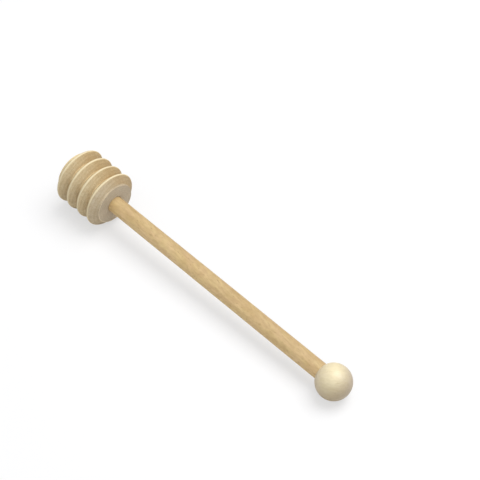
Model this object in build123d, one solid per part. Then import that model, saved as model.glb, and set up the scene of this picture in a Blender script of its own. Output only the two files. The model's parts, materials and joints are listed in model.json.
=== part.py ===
"""A turned wooden honey dipper: a ridged head and a ball knob, glued on the ends of a dowel stick.

Every piece is first made along the dipper's own axis: X = 0 is the flat tip of the head, and X grows
along the stick to the ball. The assembled dipper is then laid on its side, as it rests on a table: the
ball and the rim nearest to it touch the table (Z = 0), so the axis slopes down a little to the ball.
The origin is under the middle of the box round the resting dipper. All lengths are in millimetres.
"""
from build123d import *
from math import asin, atan2, cos, degrees, hypot, radians, sin, sqrt, tan
import os

# The stick, a length of dowel
STICK_DIAMETER = 7.0
STICK_LENGTH = 138.0
STICK_END_CHAMFER = 0.6

# The head: equal rims with V grooves between them, and a raised pad on each end face
RIM_COUNT = 4
RIM_DIAMETER = 24.6
RIM_PITCH = 6.0
RIM_CREST_WIDTH = 0.4
RIM_BEVEL_WIDTH = 0.35
GROOVE_ANGLE = 70.0
PAD_DIAMETER = 18.0
PAD_HEIGHT = 0.7

# The ball knob
KNOB_DIAMETER = 14.6

# The bored sockets: blind and flat at the bottom, with a layer of glue under the stick's end
HEAD_SOCKET_DEPTH = 14.3
KNOB_SOCKET_DEPTH = 9.3
SOCKET_CLEARANCE = 0.05
KNOB_MOUTH_CHAMFER = 0.35
GLUE_THICKNESS = 0.3

# How far a cutting tool runs past the face that it cuts through
CUT_OVERRUN = 1.0

# Radii
stick_radius = STICK_DIAMETER / 2
rim_radius = RIM_DIAMETER / 2
pad_radius = PAD_DIAMETER / 2
knob_radius = KNOB_DIAMETER / 2
socket_radius = stick_radius + SOCKET_CLEARANCE
mouth_radius = socket_radius + KNOB_MOUTH_CHAMFER

# The flanks all lean by half the groove's angle. A rim is eased by a bevel that makes equal angles with
# the flank and with the crest, and it ends at the shoulder, where the flank begins.
flank_angle = radians(GROOVE_ANGLE / 2)
flank_slope = tan(flank_angle)
bevel_angle = (radians(90) - flank_angle) / 2
half_crest = RIM_CREST_WIDTH / 2
half_shoulder = half_crest + RIM_BEVEL_WIDTH * cos(bevel_angle)
shoulder_radius = rim_radius - RIM_BEVEL_WIDTH * sin(bevel_angle)
root_radius = shoulder_radius - (RIM_PITCH / 2 - half_shoulder) / flank_slope

# Places along the axis, from the head's tip to the far side of the ball
end_reach = PAD_HEIGHT + (shoulder_radius - pad_radius) * flank_slope + half_shoulder
rim_places = [end_reach + i * RIM_PITCH for i in range(RIM_COUNT)]
head_length = rim_places[-1] + end_reach
head_socket_floor = head_length - HEAD_SOCKET_DEPTH
stick_start = head_socket_floor + GLUE_THICKNESS
stick_end = stick_start + STICK_LENGTH
knob_socket_floor = stick_end + GLUE_THICKNESS
knob_near_pole = knob_socket_floor - KNOB_SOCKET_DEPTH
knob_centre = knob_near_pole + knob_radius
knob_mouth = knob_centre - sqrt(knob_radius ** 2 - mouth_radius ** 2)


def turned(points):
    """The solid that is swept when the outline through the points turns about the X axis.

    The outline is drawn above the axis, so the seam of each round face is along the top of the part.
    """
    with BuildPart() as solid:
        with BuildSketch(Plane.XZ):
            with BuildLine():
                Polyline(*points, close=True)
            make_face()
        revolve(axis=Axis.X)
    return solid.part


def rod(start, end, radius):
    """A plain cylinder along X."""
    return turned([(start, 0), (start, radius), (end, radius), (end, 0)])


def rim_outline(place):
    """The eased top of one rim: a shoulder, the two ends of the crest, and the other shoulder."""
    return [
        (place - half_shoulder, shoulder_radius),
        (place - half_crest, rim_radius),
        (place + half_crest, rim_radius),
        (place + half_shoulder, shoulder_radius),
    ]


def make_head():
    """The turned head: pad, rims with V grooves between them, pad, and a socket in the near face."""
    outline = [(0, 0), (0, pad_radius), (PAD_HEIGHT, pad_radius)]
    for place in rim_places[:-1]:
        outline += rim_outline(place)
        outline.append((place + RIM_PITCH / 2, root_radius))
    outline += rim_outline(rim_places[-1])
    outline += [(head_length - PAD_HEIGHT, pad_radius), (head_length, pad_radius), (head_length, 0)]
    return turned(outline) - rod(head_socket_floor, head_length + CUT_OVERRUN, socket_radius)


def make_stick():
    """The dowel, with a chamfer on each end to lead it into its socket."""
    return turned(
        [
            (stick_start, 0),
            (stick_start, stick_radius - STICK_END_CHAMFER),
            (stick_start + STICK_END_CHAMFER, stick_radius),
            (stick_end - STICK_END_CHAMFER, stick_radius),
            (stick_end, stick_radius - STICK_END_CHAMFER),
            (stick_end, 0),
        ]
    )


def make_knob():
    """The ball, with its socket bored towards its far side and a softened mouth.

    The cutting tool starts ahead of the ball's near pole, which stands proud of the mouth. The ball is
    turned so that its poles are on the axis and its seam is at the top.
    """
    tool_start = knob_near_pole - CUT_OVERRUN
    cutter = turned(
        [
            (tool_start, 0),
            (tool_start, mouth_radius),
            (knob_mouth, mouth_radius),
            (knob_mouth + KNOB_MOUTH_CHAMFER, socket_radius),
            (knob_socket_floor, socket_radius),
            (knob_socket_floor, 0),
        ]
    )
    ball = Pos(knob_centre, 0, 0) * Sphere(knob_radius, rotation=(0, -90, 0))
    return ball - cutter


def resting_slope():
    """The angle, in radians, by which the axis slopes down to the ball when the dipper lies on a table.

    The ball and the near end of the last rim's crest touch the same plane, so
    span * sin(a) + knob_radius = rim_radius * cos(a).
    """
    span = knob_centre - rim_places[-1] - half_crest
    return atan2(rim_radius, span) - asin(knob_radius / hypot(span, rim_radius))


def laid_down(pieces):
    """Lays the dipper on its side, with the head towards -X, and puts the origin under its middle."""
    sloped = Rot(0, degrees(resting_slope()), 0)
    tilted = {name: sloped * piece for name, piece in pieces.items()}
    box = Compound(children=[piece.moved(Location()) for piece in tilted.values()]).bounding_box()
    middle = box.center()
    to_origin = Pos(-middle.X, -middle.Y, -box.min.Z)
    return {name: to_origin * piece for name, piece in tilted.items()}


pieces = laid_down(
    {
        "head": make_head(),
        "stick": make_stick(),
        "knob": make_knob(),
        "head_glue": rod(head_socket_floor, stick_start, socket_radius),
        "knob_glue": rod(stick_end, knob_socket_floor, socket_radius),
    }
)
os.makedirs("parts", exist_ok=True)
for name, piece in pieces.items():
    export_step(piece, f"parts/{name}.step")
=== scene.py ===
"""The looks of a turned wooden honey dipper: a grooved head and a ball knob on the ends of a round stick.

Each wooden piece is a body of revolution with a finely sampled outline. Its mesh also has raised fibres
and a slight unevenness, and the head has turning marks. It is made along the dipper's own axis, where
X = 0 is the flat tip of the head and X grows along the stick to the ball, and is then laid on the axis
that the frame gives. The wood is a solid texture, so growth rings, fibres and flecks run through each
piece and show as long grain on its sides and as rings on its ends. Lengths are in metres, apart from
those in the looks of the wood, which are in millimetres.
"""
import bpy
import json
from math import atan2, ceil, cos, pi, radians, sin, sqrt, tan
from mathutils import Matrix, Vector, noise


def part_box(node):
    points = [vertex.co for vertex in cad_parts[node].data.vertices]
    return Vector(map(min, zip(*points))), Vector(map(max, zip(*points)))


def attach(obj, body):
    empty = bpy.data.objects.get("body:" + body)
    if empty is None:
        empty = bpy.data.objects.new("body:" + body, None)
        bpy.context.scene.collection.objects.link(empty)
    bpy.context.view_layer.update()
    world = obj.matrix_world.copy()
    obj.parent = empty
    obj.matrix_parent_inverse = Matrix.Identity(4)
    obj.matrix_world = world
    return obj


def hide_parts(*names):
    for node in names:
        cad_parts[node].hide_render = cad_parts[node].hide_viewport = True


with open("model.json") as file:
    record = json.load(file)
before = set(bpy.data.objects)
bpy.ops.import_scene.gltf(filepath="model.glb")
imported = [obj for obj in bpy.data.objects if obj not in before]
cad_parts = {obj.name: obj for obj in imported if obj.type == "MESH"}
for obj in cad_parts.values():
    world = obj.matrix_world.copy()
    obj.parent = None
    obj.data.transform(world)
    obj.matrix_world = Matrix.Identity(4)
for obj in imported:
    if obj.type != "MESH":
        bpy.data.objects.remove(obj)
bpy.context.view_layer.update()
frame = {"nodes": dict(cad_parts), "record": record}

MM = 0.001

# Sizes that the frame doesn't give: the head's profile, the sockets, the glue and the stick's ends
RIM_COUNT = 4
RIM_PITCH = 6.0 * MM
RIM_ROUNDING = 0.76 * MM
GROOVE_ANGLE = radians(70)
ROOT_ROUNDING = 0.3 * MM
PAD_DIAMETER = 18.0 * MM
PAD_HEIGHT = 0.7 * MM
PAD_EDGE_ROUNDING = 0.08 * MM
PAD_FOOT_ROUNDING = 0.12 * MM
HEAD_SOCKET_DEPTH = 14.3 * MM
KNOB_SOCKET_DEPTH = 9.3 * MM
SOCKET_CLEARANCE = 0.05 * MM
MOUTH_ROUNDING = 0.16 * MM
GLUE_THICKNESS = 0.3 * MM
STICK_END_CHAMFER = 0.6 * MM

# How far apart the samples of an outline are, in view and in the sockets
HEAD_STEP = 0.19 * MM
STICK_STEP = 0.6 * MM
KNOB_STEP = 0.16 * MM
HIDDEN_STEP = 1.0 * MM

# How far a rounding turns between two samples, and the least number of such turns
ROUNDING_TURN = radians(10)
LEAST_TURNS = 6

# How many flats each piece has round its axis
HEAD_SEGMENTS = 260
STICK_SEGMENTS = 128
KNOB_SEGMENTS = 240

# A radius below this is on the axis
ON_AXIS = 1e-9

# The turning marks on the head, fine and coarse: pitch, depth and seed
HEAD_MARKS = ((0.55 * MM, 0.009 * MM, 1.0), (1.25 * MM, 0.022 * MM, 2.0))

# The marks wander along the outline: over how many pitches, and by how many radians for a noise of 1
WANDER_PITCHES = 9
WANDER_ANGLE = 5

# Their depth changes too: over how many pitches, its middle share, and how far it goes from that
FADE_PITCHES = 4
FADE_MIDDLE = 0.55
FADE_SWING = 0.45

# The rows of noise from which the wandering and the depth are read
WANDER_ROW = 0.5
FADE_ROW = 7.5

# Smooth lumps in the surfaces: length along the axis, width, depth and seed
HEAD_FIBRES = (2.2 * MM, 0.35 * MM, 0.014 * MM, 3.0)
HEAD_UNEVENNESS = (7.0 * MM, 7.0 * MM, 0.05 * MM, 0.0)
STICK_FIBRES = (9.0 * MM, 0.4 * MM, 0.014 * MM, 11.0)
STICK_RIPPLE = (30.0 * MM, 2.5 * MM, 0.03 * MM, 13.0)
KNOB_FIBRES = (1.6 * MM, 0.4 * MM, 0.006 * MM, 17.0)
KNOB_UNEVENNESS = (6.0 * MM, 6.0 * MM, 0.03 * MM, 4.0)

# Places that the frame gives: the axis, the free stretch of the stick, and the widest radii
mounts = {m["name"]: m for m in frame["record"]["mounts"]}
tip = Vector(mounts["tip_face"]["pos_m"])
along = -Vector(mounts["tip_face"]["axis"]).normalized()
grip = mounts["stick_grip"]["dims"]
grip_middle = (Vector(mounts["stick_grip"]["pos_m"]) - tip).dot(along)
stick_radius = grip["r_mm"] * MM
head_length = grip_middle - grip["length_mm"] * MM / 2
knob_near_pole = grip_middle + grip["length_mm"] * MM / 2
rim_radius = (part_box("head")[1].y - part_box("head")[0].y) / 2
knob_radius = (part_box("knob")[1].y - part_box("knob")[0].y) / 2
knob_centre = knob_near_pole + knob_radius
socket_radius = stick_radius + SOCKET_CLEARANCE
pad_radius = PAD_DIAMETER / 2


def axis_frame():
    """The matrix that lays a piece, made along X from the tip, on the dipper's own axis."""
    across = Vector((0, 1, 0))
    up = along.cross(across)
    turn = Matrix((along, across, up)).transposed().to_4x4()
    return Matrix.Translation(tip) @ turn


def new_object(name, data):
    """Adds an object to the scene."""
    made = bpy.data.objects.new(name, data)
    bpy.context.scene.collection.objects.link(made)
    return made


def rounded_outline(corners, step, hidden_runs=0):
    """Samples an outline of straight runs whose corners are rounded.

    Each corner is (x, r, rounding). Samples of straight runs are up to a step apart, and up to HIDDEN_STEP
    on the last hidden_runs of them, which are out of sight. A rounding turns by up to ROUNDING_TURN from
    sample to sample, in LEAST_TURNS turns or more.
    """
    points = [Vector((corners[0][0], corners[0][1]))]

    def run_to(end, spacing):
        start = points[-1]
        parts = max(1, ceil((end - start).length / spacing))
        points.extend(start.lerp(end, i / parts) for i in range(1, parts + 1))

    for i, (before, (x, r, rounding), after) in enumerate(zip(corners, corners[1:], corners[2:]), 1):
        corner = Vector((x, r))
        spacing = step if i < len(corners) - hidden_runs else HIDDEN_STEP
        back = (Vector(before[:2]) - corner).normalized()
        on = (Vector(after[:2]) - corner).normalized()
        if not rounding:
            run_to(corner, spacing)
            continue
        half_angle = back.angle(on) / 2
        reach = rounding / tan(half_angle)
        centre = corner + (back + on).normalized() * rounding / sin(half_angle)
        run_to(corner + back * reach, spacing)
        first = points[-1] - centre
        last = corner + on * reach - centre
        sweep = first.angle_signed(last)
        turns = max(LEAST_TURNS, ceil(abs(sweep) / ROUNDING_TURN))
        for k in range(1, turns + 1):
            turned = Matrix.Rotation(-sweep * k / turns, 2)
            points.append(centre + turned @ first)
    run_to(Vector(corners[-1][:2]), HIDDEN_STEP if hidden_runs else step)
    return points


def head_corners():
    """The corners of the head's half section, from the tip's centre round to the socket's floor."""
    slope = tan(GROOVE_ANGLE / 2)
    sharp_rim = rim_radius + RIM_ROUNDING * (1 / sin(GROOVE_ANGLE / 2) - 1)
    sharp_root = sharp_rim - RIM_PITCH / 2 / slope
    end_reach = PAD_HEIGHT + (sharp_rim - pad_radius) * slope
    spare = head_length - 2 * end_reach - (RIM_COUNT - 1) * RIM_PITCH
    first_rim = end_reach + spare / 2
    corners = [(0, 0, 0), (0, pad_radius, PAD_EDGE_ROUNDING), (PAD_HEIGHT, pad_radius, PAD_FOOT_ROUNDING)]
    for i in range(RIM_COUNT):
        place = first_rim + i * RIM_PITCH
        corners.append((place, sharp_rim, RIM_ROUNDING))
        if i < RIM_COUNT - 1:
            corners.append((place + RIM_PITCH / 2, sharp_root, ROOT_ROUNDING))
    floor = head_length - HEAD_SOCKET_DEPTH
    corners += [
        (head_length - PAD_HEIGHT, pad_radius, PAD_FOOT_ROUNDING),
        (head_length, pad_radius, PAD_EDGE_ROUNDING),
        (head_length, socket_radius, MOUTH_ROUNDING),
        (floor, socket_radius, 0),
        (floor, 0, 0),
    ]
    return corners


def stick_corners():
    """The corners of the stick's half section, with a chamfer on each hidden end."""
    start = head_length - HEAD_SOCKET_DEPTH + GLUE_THICKNESS
    end = knob_near_pole + KNOB_SOCKET_DEPTH - GLUE_THICKNESS
    inner = stick_radius - STICK_END_CHAMFER
    return [
        (start, 0, 0),
        (start, inner, 0),
        (start + STICK_END_CHAMFER, stick_radius, 0),
        (end - STICK_END_CHAMFER, stick_radius, 0),
        (end, inner, 0),
        (end, 0, 0),
    ]


def knob_outline(step):
    """The ball's half section: its socket's floor, wall and eased mouth, and the arc to the far pole."""
    floor = knob_near_pole + KNOB_SOCKET_DEPTH
    mouth_radius = socket_radius + MOUTH_ROUNDING
    mouth = knob_centre - sqrt(knob_radius ** 2 - mouth_radius ** 2)
    socket = [(floor, 0, 0), (floor, socket_radius, 0), (mouth + MOUTH_ROUNDING, socket_radius, 0)]
    points = rounded_outline(socket, HIDDEN_STEP)
    start = atan2(mouth_radius, mouth - knob_centre)
    parts = ceil(start * knob_radius / step)
    for i in range(parts + 1):
        angle = start * (1 - i / parts)
        points.append(Vector((knob_centre + knob_radius * cos(angle), knob_radius * sin(angle))))
    return points


def outline_normals(points):
    """The outward unit normal at each point of an outline, to the left of its direction of travel."""
    normals = []
    for i in range(len(points)):
        run = points[min(i + 1, len(points) - 1)] - points[max(i - 1, 0)]
        normals.append(Vector((-run.y, run.x)).normalized())
    return normals


def swept_vertices(outline, segments, relief):
    """The vertices of an outline swept round X, and each sample's ring of their numbers.

    A sample on the axis has a ring of one. relief(place, travel) gives how far a place stands proud of
    the outline, along its normal, where travel is the distance along the outline.
    """
    travel = 0.0
    rings, vertices = [], []
    for i, (point, normal) in enumerate(zip(outline, outline_normals(outline))):
        travel += (point - outline[max(i - 1, 0)]).length
        if point.y < ON_AXIS:
            rings.append([len(vertices)])
            vertices.append((point.x, 0.0, 0.0))
            continue
        rings.append(list(range(len(vertices), len(vertices) + segments)))
        for k in range(segments):
            angle = 2 * pi * k / segments
            lift = relief(Vector((point.x, point.y * cos(angle), point.y * sin(angle))), travel)
            out = point.y + normal.y * lift
            vertices.append((point.x + normal.x * lift, out * cos(angle), out * sin(angle)))
    return vertices, rings


def swept_faces(rings, segments):
    """The flats between neighbouring rings, which are triangles beside a point on the axis."""
    faces = []
    for near, far in zip(rings, rings[1:]):
        for k in range(segments):
            following = (k + 1) % segments
            a, b = near[k % len(near)], near[following % len(near)]
            c, d = far[following % len(far)], far[k % len(far)]
            faces.append(list(dict.fromkeys((a, b, c, d))))
    return faces


def lathe(name, outline, segments, relief):
    """A closed piece turned round X. Its outline ends on the axis and has the outside on its left."""
    vertices, rings = swept_vertices(outline, segments, relief)
    mesh = bpy.data.meshes.new(name)
    mesh.from_pydata(vertices, [], swept_faces(rings, segments))
    mesh.validate()
    mesh.update()
    mesh.shade_smooth()
    piece = new_object(name, mesh)
    piece.matrix_world = axis_frame()
    return piece


def lumps(place, length, width, depth, seed):
    """Relief in smooth lumps, which are long along X where they stand for fibres."""
    return noise.noise(Vector((place.x / length + seed, place.y / width, place.z / width))) * depth


def turning_marks(travel, pitch, depth, seed):
    """The fine uneven rings that a cutter leaves, the same all the way round."""
    wander = noise.noise(Vector((travel / (WANDER_PITCHES * pitch), seed, WANDER_ROW)))
    fade = noise.noise(Vector((travel / (FADE_PITCHES * pitch), seed, FADE_ROW)))
    wave = sin(2 * pi * travel / pitch + WANDER_ANGLE * wander)
    return wave * (FADE_MIDDLE + FADE_SWING * fade) * depth


def head_relief(place, travel):
    """Turning marks, fibres raised where the cutter crossed them, and a slightly uneven rim."""
    marks = sum(turning_marks(travel, *mark) for mark in HEAD_MARKS)
    return marks + lumps(place, *HEAD_FIBRES) + lumps(place, *HEAD_UNEVENNESS)


def stick_relief(place, travel):
    """Long shallow fibres left by the dowel mill."""
    return lumps(place, *STICK_FIBRES) + lumps(place, *STICK_RIPPLE)


def knob_relief(place, travel):
    """A finely sanded ball, a little out of round."""
    return lumps(place, *KNOB_FIBRES) + lumps(place, *KNOB_UNEVENNESS)


class Nodes:
    """Adds nodes to a material and joins them: a value is a number, a colour or another node's output."""

    def __init__(self, name):
        self.material = bpy.data.materials.new(name)
        self.material.use_nodes = True
        self.tree = self.material.node_tree
        self.tree.nodes.clear()

    def feed(self, socket, value):
        """Sets an input, or links it."""
        if isinstance(value, bpy.types.NodeSocket):
            self.tree.links.new(value, socket)
        else:
            socket.default_value = value

    def add(self, kind, inputs=(), out=0, **settings):
        """Adds a node, sets its inputs by name or number, and returns one of its outputs."""
        node = self.tree.nodes.new("ShaderNode" + kind)
        for key, value in settings.items():
            setattr(node, key, value)
        for key, value in dict(inputs).items():
            self.feed(node.inputs[key], value)
        return node.outputs[out]

    def math(self, operation, a, b=0.0):
        return self.add("Math", {0: a, 1: b}, operation=operation)

    def times(self, a, b):
        return self.math("MULTIPLY", a, b)

    def vector(self, operation, a, b=(0, 0, 0), out="Vector"):
        return self.add("VectorMath", {0: a, 1: b}, out, operation=operation)

    def scaled(self, place, factor):
        return self.add("VectorMath", {0: place, "Scale": factor}, operation="SCALE")

    def turned(self, place, angles):
        return self.add("VectorRotate", {"Vector": place, "Rotation": angles}, rotation_type="EULER_XYZ")

    def x_of(self, place):
        return self.add("SeparateXYZ", {0: place}, "X")

    def from_line(self, place, point):
        """The distance of a place from a line along X through the point given."""
        offset = self.vector("SUBTRACT", place, point)
        across = self.vector("MULTIPLY", offset, (0.0, 1.0, 1.0))
        return self.vector("LENGTH", across, out="Value")

    def range(self, value, low, high, to_low=0.0, to_high=1.0, kind="SMOOTHSTEP"):
        """Maps low..high to to_low..to_high, held at its ends."""
        inputs = {0: value, 1: low, 2: high, 3: to_low, 4: to_high}
        return self.add("MapRange", inputs, interpolation_type=kind)

    def noise(self, place, scale, detail, roughness=0.5, out=0):
        """Noise about 0.5; scale is in lumps for each unit of the place, along X, Y and Z."""
        inputs = {
            "Vector": self.vector("MULTIPLY", place, scale),
            "Scale": 1.0,
            "Detail": detail,
            "Roughness": roughness,
        }
        return self.add("TexNoise", inputs, out)

    def mix(self, share, a, b, blend="MIX"):
        """Blends two colours by a share from 0 to 1."""
        node = self.tree.nodes.new("ShaderNodeMix")
        node.data_type = "RGBA"
        node.blend_type = blend
        self.feed(node.inputs["Factor"], share)
        self.feed(node.inputs["A"], a)
        self.feed(node.inputs["B"], b)
        return node.outputs["Result"]

    def finish(self, shader):
        """Makes the shader the material's surface, and returns the material."""
        output = self.tree.nodes.new("ShaderNodeOutputMaterial")
        self.tree.links.new(shader, output.inputs["Surface"])
        return self.material


def colour(red, green, blue):
    return (red, green, blue, 1.0)


# Scales of the wood's figure, in lumps for each millimetre along the grain and across it
BEND_SCALE = (0.022, 0.11, 0.11)
FIBRE_SCALE = (0.09, 2.6, 2.6)
STREAK_SCALE = (0.02, 0.42, 0.42)

# The middle of coloured noise, which is taken off it to bend the rings either way
NOISE_MIDDLE = (0.5, 0.5, 0.5)

# The levels of noise between which streaks, blotches, fibres and flecks come in
STREAK_FADE = (0.3, 0.7)
BLOTCH_FADE = (0.35, 0.7)
FIBRE_FADE = (0.42, 0.68)
FLECK_FADE = (0.66, 0.76)

# The dark late wood grows with this power of the way across a ring, and fades out from here to its end
RING_POWER = 3.5
RING_END = 0.93

# How much the surface's normal lies along the fibres gives the end grain: its share by this power, and
# its tint, which changes to the far end's between these values
END_POWER = 1.5
END_CHANGE = (-0.2, 0.2)

# How the fine fibres change the roughness, and how deep they and the flecks look
ROUGH_FADE = (0.3, 0.75)
SMOOTHER = 0.07
ROUGHER = 0.08
BUMP_DEPTH = 0.04 * MM
FLECK_DEPTH_SHARE = 0.6


def growth_rings(n, grain, bend, look):
    """How much of the dark late wood shows at a place: it grows across a ring and ends sharply."""
    distance = n.from_line(n.vector("ADD", grain, bend), look["pith"])
    phase = n.math("FRACT", n.math("DIVIDE", distance, look["ring_pitch"]))
    late = n.math("POWER", phase, RING_POWER)
    return n.times(late, n.range(phase, RING_END, 1.0, 1.0, 0.0))


def figure(n, grain, bend, fine, fleck, look):
    """The wood's colour: broad streaks, rings, warm patches, dark mottling, fibres and flecks."""
    broad = n.noise(grain, STREAK_SCALE, detail=2.0)
    patch = n.noise(grain, look["patch_scale"], detail=1.0)
    mottle = n.noise(grain, look["mottle_scale"], detail=2.0, roughness=0.55)
    ring = growth_rings(n, grain, bend, look)
    base = n.mix(n.range(broad, *STREAK_FADE), look["pale"], look["streak"])
    base = n.mix(n.times(ring, look["ring_strength"]), base, look["dark"])
    base = n.mix(n.range(patch, *BLOTCH_FADE, 0.0, look["patch_strength"]), base, look["patch"])
    base = n.mix(n.range(mottle, *BLOTCH_FADE, 0.0, look["mottle_strength"]), base, look["dark"])
    base = n.mix(n.times(n.range(fine, *FIBRE_FADE), look["fibre_strength"]), base, look["dark"])
    return n.mix(n.times(fleck, look["fleck_strength"]), base, look["dark"])


def end_grain(n, base, look):
    """Tints the wood where its surface crosses the fibres."""
    facing = n.turned(n.add("TexCoord", out="Normal"), look["grain_turn"])
    onward = n.x_of(facing)
    end = n.math("POWER", n.math("ABSOLUTE", onward), END_POWER)
    tint = n.mix(n.range(onward, *END_CHANGE), look["end"], look["far_end"])
    return n.mix(end, base, tint, "MULTIPLY")


def add_head_tints_and_painted_light(n, millimetres, base, painted_shade, look, head_tints_and_painted_light):
    """The head's tints, painted shade and painted highlights. The painted shade on the lit side stops
    short of the pads.

    The last flank and the pad round the stick are dull, and that pad's face is greyer. That pad's wall has
    painted shade, most of all on the lit side. The grooves have painted shade, darker towards their roots.
    The rims' crests are paler, with rubbed wear and a faint painted highlight. The pads have a painted
    highlight, a pale line round their edges, which is lost on the lit side.
    """
    rim, pad, half = rim_radius / MM, pad_radius / MM, head_length / 2 / MM
    radius = n.from_line(millimetres, (0.0, 0.0, 0.0))
    past_middle = n.math("SUBTRACT", n.x_of(millimetres), half)
    from_middle = n.math("ABSOLUTE", past_middle)

    def near_face(distance, reach, away=0.0, close=1.0):
        """Goes from one value to the other between two distances from an end face of the head."""
        return n.range(distance, half - reach[0], half - reach[1], away, close)

    flank = near_face(from_middle, head_tints_and_painted_light["flank_end"], away=1.0, close=0.0)
    # Painted shade on the flanks, on the side that the key light falls on
    base = n.mix(n.times(painted_shade, flank), base, look["painted_shade"], "MULTIPLY")
    base = n.mix(near_face(past_middle, head_tints_and_painted_light["dull_reach"]), base, head_tints_and_painted_light["dull"], "MULTIPLY")
    face = near_face(past_middle, head_tints_and_painted_light["face_reach"], close=head_tints_and_painted_light["face_strength"])
    base = n.mix(face, base, head_tints_and_painted_light["face"])

    # Painted shade on the wall of the pad round the stick, strongest on the lit side
    skin = n.range(radius, pad - head_tints_and_painted_light["wall_depth"], pad)
    wall = n.times(skin, near_face(past_middle, head_tints_and_painted_light["wall_reach"]))
    wall = n.times(wall, n.range(painted_shade, *head_tints_and_painted_light["wall_over_painted_shade"]))
    base = n.mix(wall, base, head_tints_and_painted_light["wall"], "MULTIPLY")

    # Painted shade in the grooves, darker towards their roots
    groove_shade = n.range(radius, rim - head_tints_and_painted_light["groove_shade_reach"][0], rim - head_tints_and_painted_light["groove_shade_reach"][1], 1.0, 0.0)
    base = n.mix(n.times(groove_shade, flank), base, head_tints_and_painted_light["groove_shade"], "MULTIPLY")

    # Painted highlight: a pale line round the pads' edges, lost on the lit side
    off_line = n.math("ABSOLUTE", n.math("SUBTRACT", radius, pad - head_tints_and_painted_light["line_inset"]))
    line = n.range(off_line, *head_tints_and_painted_light["line_width"], 1.0, 0.0)
    line = n.times(line, near_face(from_middle, head_tints_and_painted_light["line_reach"]))
    line = n.times(line, n.range(painted_shade, *head_tints_and_painted_light["line_over_painted_shade"]))
    base = n.mix(line, base, head_tints_and_painted_light["line"])

    # Paler crests: rubbed wear with a faint painted highlight
    crest = n.range(radius, rim - head_tints_and_painted_light["crest_depth"], rim)
    return n.mix(crest, base, head_tints_and_painted_light["crest"])


def wood(name, look, middle, head_tints_and_painted_light=None):
    """A solid wood texture, taken in millimetres from the middle of the piece, along the grain.

    look gives the colours and their strengths, the scales of patches, mottling and flecks, how the grain
    lies, the rings' pith, pitch and bend, the side that has painted shade and the distances between
    which it comes in, and the roughness, gloss and bump. The last argument gives the head's tints, its
    painted shade and its painted highlights.
    """
    n = Nodes(name)
    millimetres = n.scaled(n.add("TexCoord", out="Object"), 1 / MM)
    placed = n.vector("SUBTRACT", millimetres, (middle / MM, 0.0, 0.0))
    grain = n.turned(placed, look["grain_turn"])
    slow = n.noise(grain, BEND_SCALE, detail=2.0, out="Color")
    bend = n.scaled(n.vector("SUBTRACT", slow, NOISE_MIDDLE), look["ring_bend"])
    fine = n.noise(grain, FIBRE_SCALE, detail=4.0, roughness=0.62)
    fleck = n.range(n.noise(grain, look["fleck_scale"], detail=1.0, roughness=0.4), *FLECK_FADE)

    base = figure(n, grain, bend, fine, fleck, look)
    base = end_grain(n, base, look)
    # Painted shade: the wood is darker on the side that the look gives. On the head and the stick this is
    # the side the key light falls on, which evens out their shading; on the ball it is its bottom and far
    # side.
    inward = n.vector("DOT_PRODUCT", n.vector("ADD", placed, bend), look["painted_shade_side"], out="Value")
    painted_shade = n.range(inward, *look["painted_shade_reach"])
    if head_tints_and_painted_light:
        base = add_head_tints_and_painted_light(n, millimetres, base, painted_shade, look, head_tints_and_painted_light)
    else:
        base = n.mix(painted_shade, base, look["painted_shade"], "MULTIPLY")

    height = n.math("ADD", n.times(fine, -1.0), n.times(fleck, -FLECK_DEPTH_SHARE))
    bump = n.add("Bump", {"Height": height, "Strength": look["bump"], "Distance": BUMP_DEPTH})
    levels = (look["roughness"] - SMOOTHER, look["roughness"] + ROUGHER)
    rough = n.range(fine, *ROUGH_FADE, *levels, kind="LINEAR")
    shader = n.add(
        "BsdfPrincipled",
        {"Base Color": base, "Roughness": rough, "Normal": bump, "Specular IOR Level": look["specular"]},
    )
    return n.finish(shader)


# The three woods. Places and distances are in millimetres, and scales in lumps for each millimetre.
HEAD_LOOK = {
    "pale": colour(0.72, 0.60, 0.36),
    "streak": colour(0.65, 0.52, 0.295),
    "dark": colour(0.45, 0.325, 0.16),
    "patch": colour(0.71, 0.55, 0.31),
    "patch_strength": 0.4,
    "patch_scale": (0.3, 0.45, 0.45),
    "mottle_strength": 0.35,
    "mottle_scale": (1.0, 1.6, 1.6),
    "fleck_strength": 0.75,
    "fleck_scale": (0.7, 2.0, 2.0),
    "fibre_strength": 0.25,
    "end": colour(0.86, 0.88, 1.0),
    "far_end": colour(0.86, 0.88, 1.0),
    # Painted shade, brownish, on the head's side that the key light falls on
    "painted_shade": colour(0.775, 0.69, 0.555),
    "painted_shade_side": (0.0, 0.97, 0.26),
    "painted_shade_reach": (-4.5, 9.5),
    "grain_turn": (0.0, 0.03, -0.04),
    "pith": (0.0, 1.2, -2.0),
    "ring_pitch": 1.2,
    "ring_bend": 1.6,
    "ring_strength": 0.6,
    "roughness": 0.6,
    "specular": 0.3,
    "bump": 0.35,
}
STICK_LOOK = {
    **HEAD_LOOK,
    "pale": colour(0.72, 0.545, 0.265),
    "streak": colour(0.62, 0.445, 0.20),
    "dark": colour(0.44, 0.285, 0.12),
    "patch": colour(0.72, 0.50, 0.285),
    "patch_scale": (0.13, 0.5, 0.5),
    "mottle_scale": (0.35, 1.0, 1.0),
    # Painted shade on the stick's top and the side that the key light falls on
    "painted_shade": colour(0.70, 0.68, 0.68),
    "painted_shade_side": (0.0, 0.62, 0.78),
    "painted_shade_reach": (-2.6, 3.9),
    "grain_turn": (0.0, 0.12, 0.16),
    "pith": (0.0, 24.0, 30.0),
    "ring_pitch": 2.3,
    "ring_bend": 4.0,
    "ring_strength": 0.2,
    "roughness": 0.5,
    "specular": 0.4,
}
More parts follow.
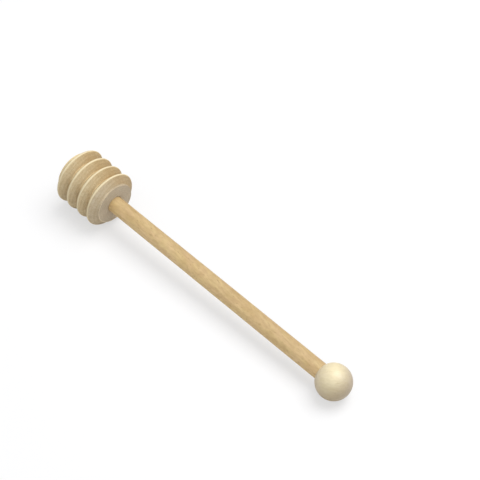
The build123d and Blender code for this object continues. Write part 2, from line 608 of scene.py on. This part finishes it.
KNOB_LOOK = {
    **HEAD_LOOK,
    "pale": colour(0.725, 0.636, 0.425),
    "streak": colour(0.715, 0.615, 0.38),
    "dark": colour(0.55, 0.445, 0.26),
    "patch": colour(0.74, 0.635, 0.43),
    "mottle_strength": 0.24,
    "mottle_scale": (0.5, 1.1, 1.1),
    "fleck_strength": 0.4,
    "fleck_scale": (0.5, 1.8, 1.8),
    "fibre_strength": 0.16,
    "end": colour(0.86, 0.845, 0.90),
    "far_end": colour(0.92, 0.94, 1.08),
    # Painted shade towards the ball's bottom and its far side
    "painted_shade": colour(0.64, 0.60, 0.595),
    "painted_shade_side": (0.5, 0.3, -0.81),
    "painted_shade_reach": (-7.0, 1.8),
    "grain_turn": (0.0, -0.05, -0.65),
    "pith": (0.0, -28.0, -12.0),
    "ring_pitch": 1.7,
    "ring_bend": 3.0,
    "ring_strength": 0.12,
    "roughness": 0.45,
    "specular": 0.6,
}

# The marks on the head, in millimetres: tints, painted shade and painted highlights. A reach is two
# distances
# between which a mark comes in: inwards from the rims' radius for the painted shade in the grooves, and
# from an end face for the others. flank_end is where the painted shade on the lit side and in the grooves
# stops before the pads, and line_width is how far from its middle the painted highlight line begins to
# fade, and is gone.
# Over the painted shade on the lit side, two levels of it are followed by the mark's strength at each.
HEAD_TINTS_AND_PAINTED_LIGHT = {
    "flank_end": (1.0, 0.6),
    "dull": colour(0.87, 0.885, 0.97),
    "dull_reach": (3.6, 2.8),
    "face": colour(0.50, 0.45, 0.385),
    "face_strength": 0.2,
    "face_reach": (1.0, 0.6),
    # Painted shade on that pad's wall
    "wall": colour(0.75, 0.74, 0.75),
    "wall_depth": 0.15,
    "wall_reach": (0.8, 0.6),
    "wall_over_painted_shade": (0.0, 0.4, 0.35, 1.0),
    # Painted shade in the grooves
    "groove_shade": colour(0.95, 0.93, 0.90),
    "groove_shade_reach": (3.4, 0.9),
    # Painted highlight round the pads' edges
    "line": colour(0.82, 0.71, 0.52),
    "line_inset": 0.17,
    "line_width": (0.07, 0.17),
    "line_reach": (0.5, 0.2),
    "line_over_painted_shade": (0.0, 0.45, 0.65, 0.0),
    # Paler crests: rubbed wear with a faint painted highlight
    "crest": colour(0.66, 0.565, 0.37),
    "crest_depth": 0.22,
}

# The glue: its colours, the scale of its clouds in lumps for each metre, and its roughness
GLUE_PALE = colour(0.72, 0.60, 0.36)
GLUE_DARK = colour(0.62, 0.49, 0.27)
GLUE_CLOUD_SCALE = (900.0, 900.0, 900.0)
GLUE_TINT_FADE = (0.35, 0.65)
GLUE_ROUGH_FADE = (0.3, 0.7)
GLUE_ROUGHNESS = (0.3, 0.42)


def glue():
    """Cured wood glue: pale, slightly clouded and smooth."""
    n = Nodes("cured_glue")
    cloud = n.noise(n.add("TexCoord", out="Object"), GLUE_CLOUD_SCALE, detail=2.0)
    tint = n.mix(n.range(cloud, *GLUE_TINT_FADE), GLUE_PALE, GLUE_DARK)
    rough = n.range(cloud, *GLUE_ROUGH_FADE, *GLUE_ROUGHNESS)
    return n.finish(n.add("BsdfPrincipled", {"Base Color": tint, "Roughness": rough}))


def dress(piece, node, material):
    """Gives a piece its material and puts it in a node's place on the part."""
    piece.data.materials.append(material)
    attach(piece, "root")
    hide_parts(node)


def make_head():
    outline = rounded_outline(head_corners(), HEAD_STEP, hidden_runs=2)
    piece = lathe("turned_head", outline, HEAD_SEGMENTS, head_relief)
    dress(piece, "head", wood("head_wood", HEAD_LOOK, head_length / 2, HEAD_TINTS_AND_PAINTED_LIGHT))


def make_stick():
    outline = rounded_outline(stick_corners(), STICK_STEP)
    piece = lathe("dowel_stick", outline, STICK_SEGMENTS, stick_relief)
    dress(piece, "stick", wood("stick_wood", STICK_LOOK, grip_middle))


def make_knob():
    outline = knob_outline(KNOB_STEP)
    piece = lathe("ball_knob", outline, KNOB_SEGMENTS, knob_relief)
    dress(piece, "knob", wood("knob_wood", KNOB_LOOK, knob_centre))


def dress_glue():
    """The glue layers keep their own solids, which lie hidden at the bottoms of the sockets."""
    material = glue()
    for name in ("head_glue", "knob_glue"):
        node = frame["nodes"][name]
        node.data.materials.clear()
        node.data.materials.append(material)


# The floor: a bright sheet that is seen, and a warmer one under it that throws light back up
SHEET_SIZE = 6.0
SHEET_ROUGHNESS = 0.85
SHEET_COLOUR = colour(0.292, 0.29, 0.295)
SHEET_GLOW = 0.575
BOUNCE_COLOUR = colour(0.67, 0.645, 0.62)
BOUNCE_DROP = 0.2 * MM


def make_sheet(name, tint, glow, height):
    """A plain matt sheet, wide enough to pass for an endless floor."""
    bpy.ops.mesh.primitive_plane_add(size=SHEET_SIZE, location=(0, 0, height))
    sheet = bpy.context.object
    sheet.name = name
    n = Nodes(name)
    surface = {"Base Color": tint, "Roughness": SHEET_ROUGHNESS, "Emission Strength": glow}
    sheet.data.materials.append(n.finish(n.add("BsdfPrincipled", surface)))
    return sheet


def make_floor():
    """The seen sheet glows a little, which keeps shadows pale, and lights nothing itself."""
    sheet = make_sheet("floor", SHEET_COLOUR, SHEET_GLOW, 0)
    sheet.visible_diffuse = False
    sheet.visible_glossy = False
    sheet.visible_shadow = False
    bounce = make_sheet("floor_bounce", BOUNCE_COLOUR, 0, -BOUNCE_DROP)
    bounce.visible_camera = False


def aim(thing, place, direction):
    """Puts a camera or a light at a place, and points it in a direction."""
    thing.location = place
    thing.rotation_mode = "QUATERNION"
    thing.rotation_quaternion = direction.to_track_quat("-Z", "Y")


# Camera, from the photograph's perspective of the two ends and the rims
CAMERA_AZIMUTH = radians(44.98)
CAMERA_ELEVATION = radians(48.7)
CAMERA_DISTANCE = 660 * MM
CAMERA_TARGET = Vector((-9.64, 29.83, 0.0)) * MM
CAMERA_LENS = 120.36
CAMERA_SENSOR = 36.0
NEAREST_SEEN = 0.01
FARTHEST_SEEN = 20.0


def make_camera():
    data = bpy.data.cameras.new("camera")
    data.lens = CAMERA_LENS
    data.sensor_width = CAMERA_SENSOR
    data.clip_start = NEAREST_SEEN
    data.clip_end = FARTHEST_SEEN
    level = cos(CAMERA_ELEVATION)
    back = Vector((sin(CAMERA_AZIMUTH) * level, -cos(CAMERA_AZIMUTH) * level, sin(CAMERA_ELEVATION)))
    camera = new_object("camera", data)
    aim(camera, CAMERA_TARGET + back * CAMERA_DISTANCE, -back)
    bpy.context.scene.camera = camera


# The light: a wide soft box above and a little behind, in a room that is brighter overhead and in front.
# The room goes from its level to its overhead value as a direction rises to SKY_FULL_RISE, and changes
# along each axis by SKY_LEAN.
KEY_PLACE = Vector((0.14, 0.42, 1.05))
KEY_SIZE = 0.85
KEY_POWER = 13.3
KEY_COLOUR = (1.0, 0.99, 0.97)
SKY_COLOUR = colour(0.95, 0.975, 1.0)
SKY_LEVEL = 0.47
SKY_OVERHEAD = 0.75
SKY_FULL_RISE = 0.9
SKY_LEAN = (0.07, -0.21, 0.0)


def make_key():
    """A square soft box, turned towards the dipper."""
    data = bpy.data.lights.new("key", "AREA")
    data.shape = "SQUARE"
    data.size = KEY_SIZE
    data.energy = KEY_POWER
    data.color = KEY_COLOUR
    aim(new_object("key", data), KEY_PLACE, -KEY_PLACE)


def make_room():
    """A pale room, brightest overhead, and brighter in front than behind."""
    world = bpy.data.worlds.new("room")
    world.use_nodes = True
    nodes, links = world.node_tree.nodes, world.node_tree.links
    background = nodes["Background"]
    background.inputs["Color"].default_value = SKY_COLOUR
    direction = nodes.new("ShaderNodeTexCoord")
    parts = nodes.new("ShaderNodeSeparateXYZ")
    rise = nodes.new("ShaderNodeMapRange")
    rise.inputs["From Min"].default_value = 0.0
    rise.inputs["From Max"].default_value = SKY_FULL_RISE
    rise.inputs["To Min"].default_value = SKY_LEVEL
    rise.inputs["To Max"].default_value = SKY_OVERHEAD
    lean = nodes.new("ShaderNodeVectorMath")
    lean.operation = "DOT_PRODUCT"
    lean.inputs[1].default_value = SKY_LEAN
    strength = nodes.new("ShaderNodeMath")
    strength.operation = "ADD"
    links.new(direction.outputs["Generated"], parts.inputs["Vector"])
    links.new(direction.outputs["Generated"], lean.inputs[0])
    links.new(parts.outputs["Z"], rise.inputs["Value"])
    links.new(rise.outputs["Result"], strength.inputs[0])
    links.new(lean.outputs["Value"], strength.inputs[1])
    links.new(strength.outputs["Value"], background.inputs["Strength"])
    bpy.context.scene.world = world


def make_view():
    """Plain colours, as they are."""
    settings = bpy.context.scene.view_settings
    settings.view_transform = "Standard"
    settings.look = "None"


make_head()
make_stick()
make_knob()
dress_glue()
make_floor()
make_camera()
make_key()
make_room()
make_view()
